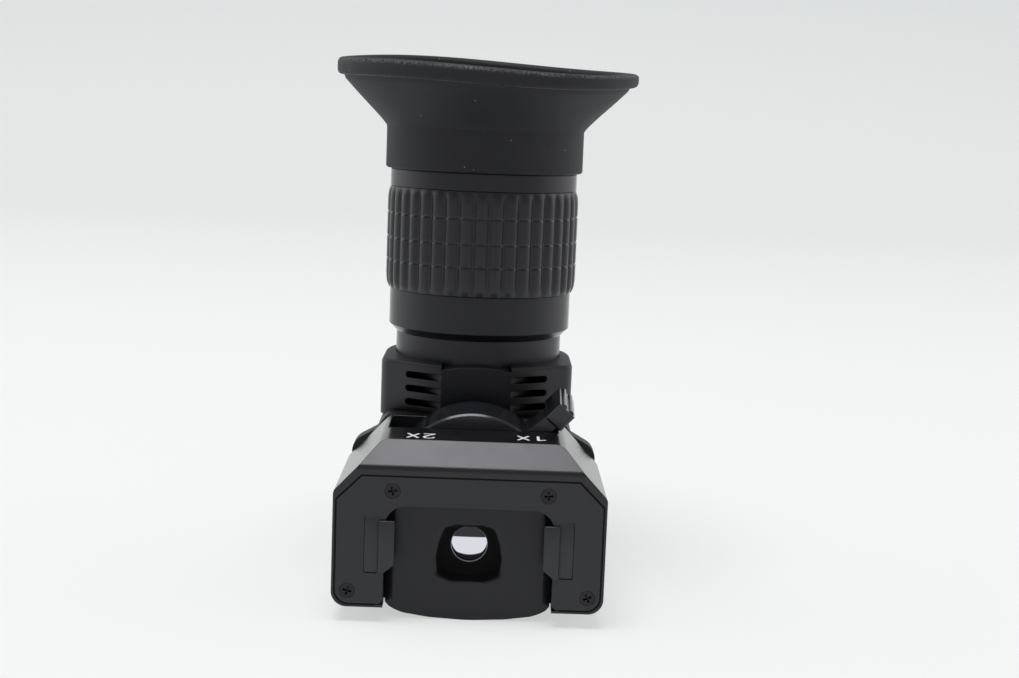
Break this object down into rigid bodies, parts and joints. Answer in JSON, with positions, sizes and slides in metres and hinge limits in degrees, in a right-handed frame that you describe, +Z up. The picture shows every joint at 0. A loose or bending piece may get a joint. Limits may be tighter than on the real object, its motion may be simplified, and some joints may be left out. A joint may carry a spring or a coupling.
{
  "type": "right angle viewfinder",
  "caption": "Black right angle viewfinder with a 1x/2x lever, ribbed dioptre ring and rubber eyecup.",
  "frame": {"origin": "where the optical axis meets the mount plate's outer face", "axes": "+Y back along the optical axis from the camera, +Z up along the barrel, +X to the right seen from the camera"},
  "size_m": [0.0484, 0.0647, 0.0814],
  "materials": {
    "moulded_black": "satin, fine moulded texture",
    "plate_black": "matt black painted sheet",
    "clip_black": "blackened spring steel, satin",
    "screw_black": "blackened steel",
    "anodised_black": "black anodised, satin",
    "ring_black": "satin, ribbed",
    "brass": "turned",
    "steel": "ground",
    "glass": "polished and coated",
    "cup_rubber": "matt, slightly dusty"
  },
  "bodies": {
    "front_unit": {"front_housing": "moulded_black", "mount_plate": "plate_black", "plate_screws": "screw_black", "clip_left": "clip_black", "clip_right": "clip_black", "window_panel": "moulded_black", "objective_cell": "anodised_black", "objective_lens": "glass", "objective_ring": "anodised_black", "lever_pivot": "steel", "click_spring": "steel", "swivel_spigot": "anodised_black", "spigot_screws": "screw_black", "swivel_ring": "steel"},
    "lever": {"lens_drum": "anodised_black", "lever_arm": "moulded_black", "thumb_knob": "moulded_black", "lens_1x": "glass", "lens_2x": "glass"},
    "elbow": {"elbow_housing": "moulded_black", "roof_prism": "glass", "prism_saddle": "moulded_black", "prism_mask": "plate_black", "prism_cover": "plate_black", "cover_screws": "screw_black", "barrel_tube": "anodised_black", "collar": "anodised_black", "relay_cell": "anodised_black", "relay_lens": "glass", "field_stop": "plate_black", "upper_band": "anodised_black"},
    "ring": {"dioptre_ring": "ring_black"},
    "ocular": {"ocular_cell": "anodised_black", "field_lens": "glass", "lens_spacer": "anodised_black", "eye_lens": "glass", "ocular_ring": "anodised_black", "drive_pin": "brass"},
    "cup": {"eyecup": "cup_rubber"}
  },
  "joints": [
    {"name": "elbow_swivel", "type": "hinge", "parent": "front_unit", "child": "elbow", "pos_m": [0, 0.0245, 0], "axis": [0, 1, 0], "continuous": true},
    {"name": "magnification_lever", "type": "hinge", "parent": "front_unit", "child": "lever", "pos_m": [0, 0.01635, 0.0054], "axis": [0, -1, 0], "range_deg": [0, 94]},
    {"name": "dioptre_turn", "type": "hinge", "parent": "elbow", "child": "ring", "pos_m": [0, 0.04, 0.0408], "axis": [0, 0, 1], "range_deg": [-90, 90]},
    {"name": "ocular_travel", "type": "slide", "parent": "elbow", "child": "ocular", "axis": [0, 0, 1], "range_m": [-0.002, 0.002]},
    {"name": "eyecup_turn", "type": "hinge", "parent": "elbow", "child": "cup", "pos_m": [0, 0.04, 0.058], "axis": [0, 0, 1], "continuous": true}
  ],
  "couplings": [
    {"joint": "dioptre_turn", "follows": "ocular_travel", "rad_per_m": 785.4}
  ]
}
